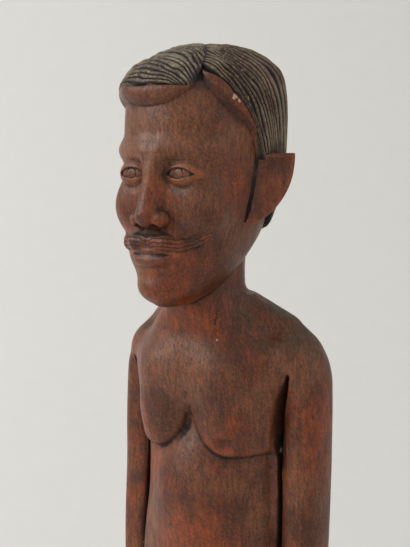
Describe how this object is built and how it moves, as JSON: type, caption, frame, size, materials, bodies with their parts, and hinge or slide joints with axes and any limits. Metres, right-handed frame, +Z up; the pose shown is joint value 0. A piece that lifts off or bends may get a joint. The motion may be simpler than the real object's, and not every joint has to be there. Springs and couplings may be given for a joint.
{
  "type": "carved wooden figure",
  "caption": "Standing man carved from one piece of reddish brown wood, with side-parted grooved hair, a moustache, arms straight at the sides and a low base.",
  "frame": {"origin": "middle of the underside of the base", "axes": "+Z up through the head, -Y the way the figure faces, +X towards its left hand"},
  "size_m": [0.092, 0.0833, 0.3999],
  "materials": {
    "carved_wood": "satin, oiled and handled, dark in the grooves"
  },
  "bodies": {
    "root": {"carved_figure": "carved_wood"}
  },
  "joints": []
}
